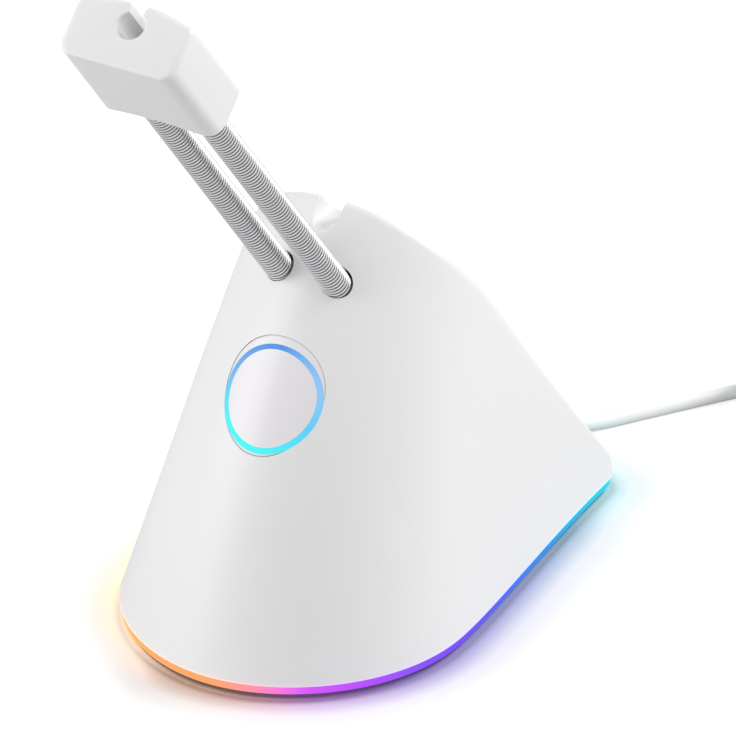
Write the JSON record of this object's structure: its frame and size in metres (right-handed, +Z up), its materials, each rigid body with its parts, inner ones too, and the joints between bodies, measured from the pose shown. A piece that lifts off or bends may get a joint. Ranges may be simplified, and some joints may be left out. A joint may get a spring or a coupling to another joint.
{
  "type": "mouse bungee",
  "caption": "Weighted, leaning mouse cable holder on two springs, with a slotted clip head, a lit round badge, a light strip round the base and its own USB cable.",
  "frame": {"origin": "middle of the rubber foot's underside, on the table", "axes": "+Z up, -Y towards the badge and the arm's lean, +Y towards the sloping back and the cable, +X to the right seen from the front"},
  "size_m": [0.1292, 0.2169, 0.1652],
  "materials": {
    "white_plastic": "satin",
    "head_plastic": "satin",
    "milky_plastic": "satin",
    "badge_light": "satin",
    "strip_light": "satin",
    "spring_steel": "satin",
    "dark_plastic": "matte",
    "screw_steel": "satin",
    "foot_rubber": "matte",
    "ballast_steel": "matte",
    "board": "satin",
    "led": "gloss",
    "gland_rubber": "matte",
    "tie_rubber": "matte",
    "cable_jacket": "satin",
    "plug_plastic": "satin",
    "plug_metal": "satin",
    "ivory_plastic": "satin"
  },
  "bodies": {
    "base": {"housing_shell": "white_plastic", "badge_lens": "milky_plastic", "badge_ring": "badge_light", "badge_cup": "white_plastic", "badge_board": "board", "badge_leds": "led", "spring_holder": "dark_plastic", "spring_cap": "dark_plastic", "holder_screws": "screw_steel", "light_ring": "strip_light", "base_plate": "white_plastic", "rubber_foot": "foot_rubber", "ballast_plate": "ballast_steel", "led_board": "board", "base_leds": "led", "board_screws": "screw_steel", "base_screws": "screw_steel", "cable_gland": "gland_rubber", "cable_socket": "ivory_plastic", "usb_cable": "cable_jacket", "cable_coil": "cable_jacket", "cable_tie": "tie_rubber", "cable_tail": "cable_jacket", "plug_body": "plug_plastic", "plug_shell": "plug_metal", "plug_tongue": "ivory_plastic"},
    "springs": {"spring_left": "spring_steel", "spring_right": "spring_steel"},
    "head": {"arm_head": "head_plastic"}
  },
  "joints": [
    {"name": "arm_flex", "type": "hinge", "parent": "base", "child": "springs", "pos_m": [0, -0.03035, 0.091], "axis": [1, 0, 0], "range_deg": [-20, 20], "stiffness_Nm_per_rad": 0.6, "deforming": ["spring_left", "spring_right"]},
    {"name": "arm_sway", "type": "hinge", "parent": "springs", "child": "head", "pos_m": [0, -0.05552, 0.12208], "axis": [0, 0.7771, 0.6293], "range_deg": [-12, 12], "stiffness_Nm_per_rad": 0.8, "deforming": ["spring_left", "spring_right"]}
  ]
}
